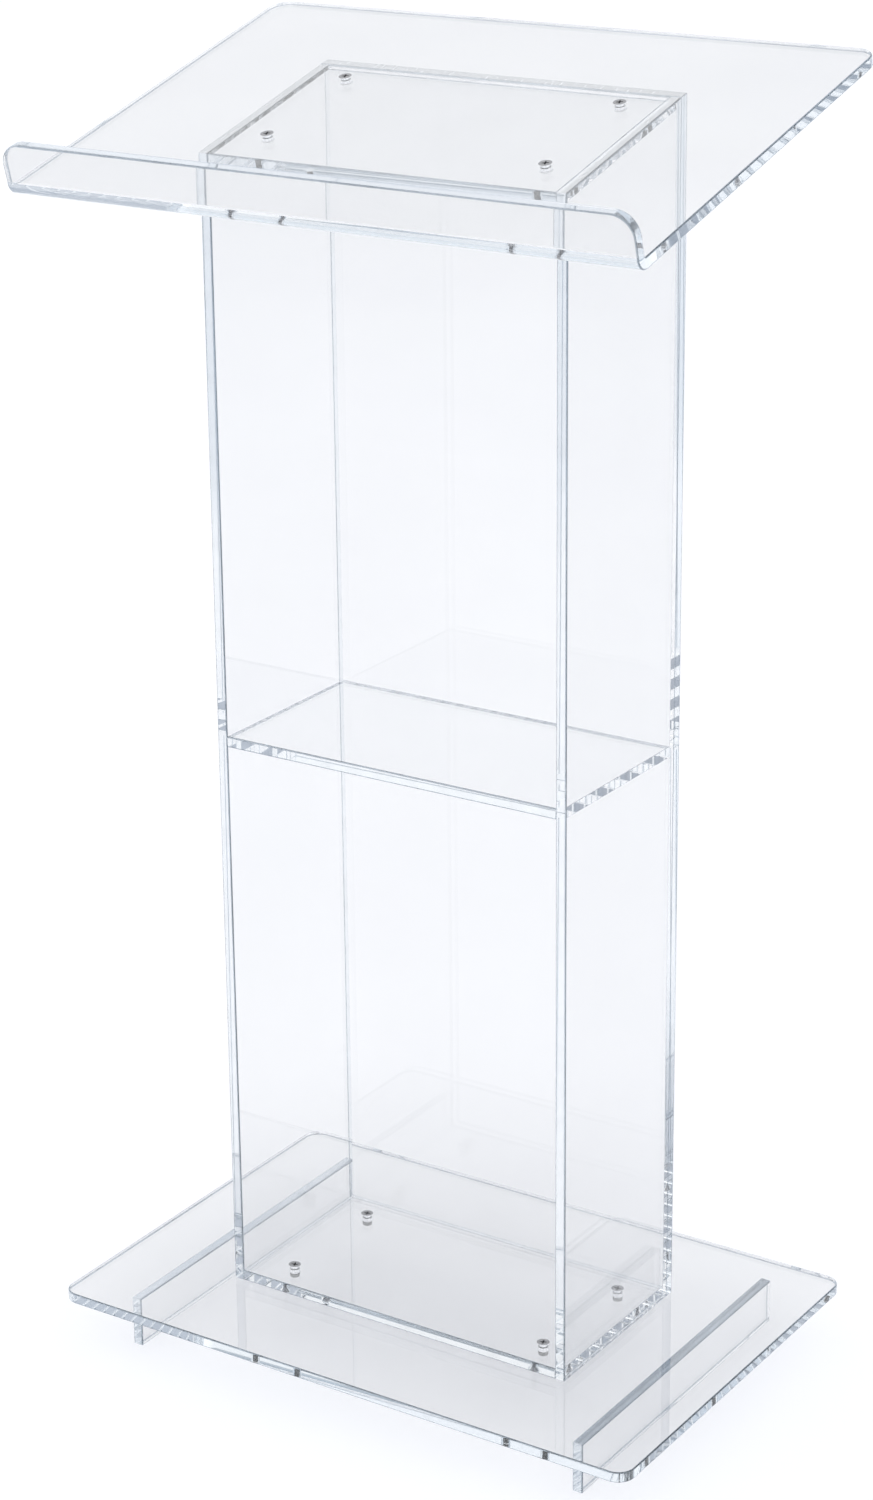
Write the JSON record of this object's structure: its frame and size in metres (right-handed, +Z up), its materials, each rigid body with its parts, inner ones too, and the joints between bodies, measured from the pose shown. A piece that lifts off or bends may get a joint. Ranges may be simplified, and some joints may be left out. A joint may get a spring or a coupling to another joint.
{
  "type": "presentation lectern",
  "caption": "Free-standing clear acrylic lectern: sloping reading top with a bent book ledge, three-sided column open to the presenter, shelf, and a base plate on runners.",
  "frame": {"origin": "on the floor, under the middle of the base plate", "axes": "+X to the right as the presenter's side is seen from the front, -Y towards the presenter, +Y towards the audience, +Z up"},
  "size_m": [0.6, 0.4065, 1.181],
  "materials": {
    "clear_acrylic": "clear cast acrylic, polished faces and edges",
    "screw_steel": "bright plated steel",
    "insert_nickel": "nickel-plated, fine knurl"
  },
  "bodies": {
    "root": {"reading_top": "clear_acrylic", "column_top_plate": "clear_acrylic", "left_side_panel": "clear_acrylic", "right_side_panel": "clear_acrylic", "back_panel": "clear_acrylic", "shelf": "clear_acrylic", "column_bottom_plate": "clear_acrylic", "base_plate": "clear_acrylic", "left_runner": "clear_acrylic", "right_runner": "clear_acrylic", "top_screw_front_left": "screw_steel", "top_screw_front_right": "screw_steel", "top_screw_rear_left": "screw_steel", "top_screw_rear_right": "screw_steel", "top_insert_front_left": "insert_nickel", "top_insert_front_right": "insert_nickel", "top_insert_rear_left": "insert_nickel", "top_insert_rear_right": "insert_nickel", "base_screw_front_left": "screw_steel", "base_screw_front_right": "screw_steel", "base_screw_rear_left": "screw_steel", "base_screw_rear_right": "screw_steel", "base_insert_front_left": "insert_nickel", "base_insert_front_right": "insert_nickel", "base_insert_rear_left": "insert_nickel", "base_insert_rear_right": "insert_nickel"}
  },
  "joints": []
}
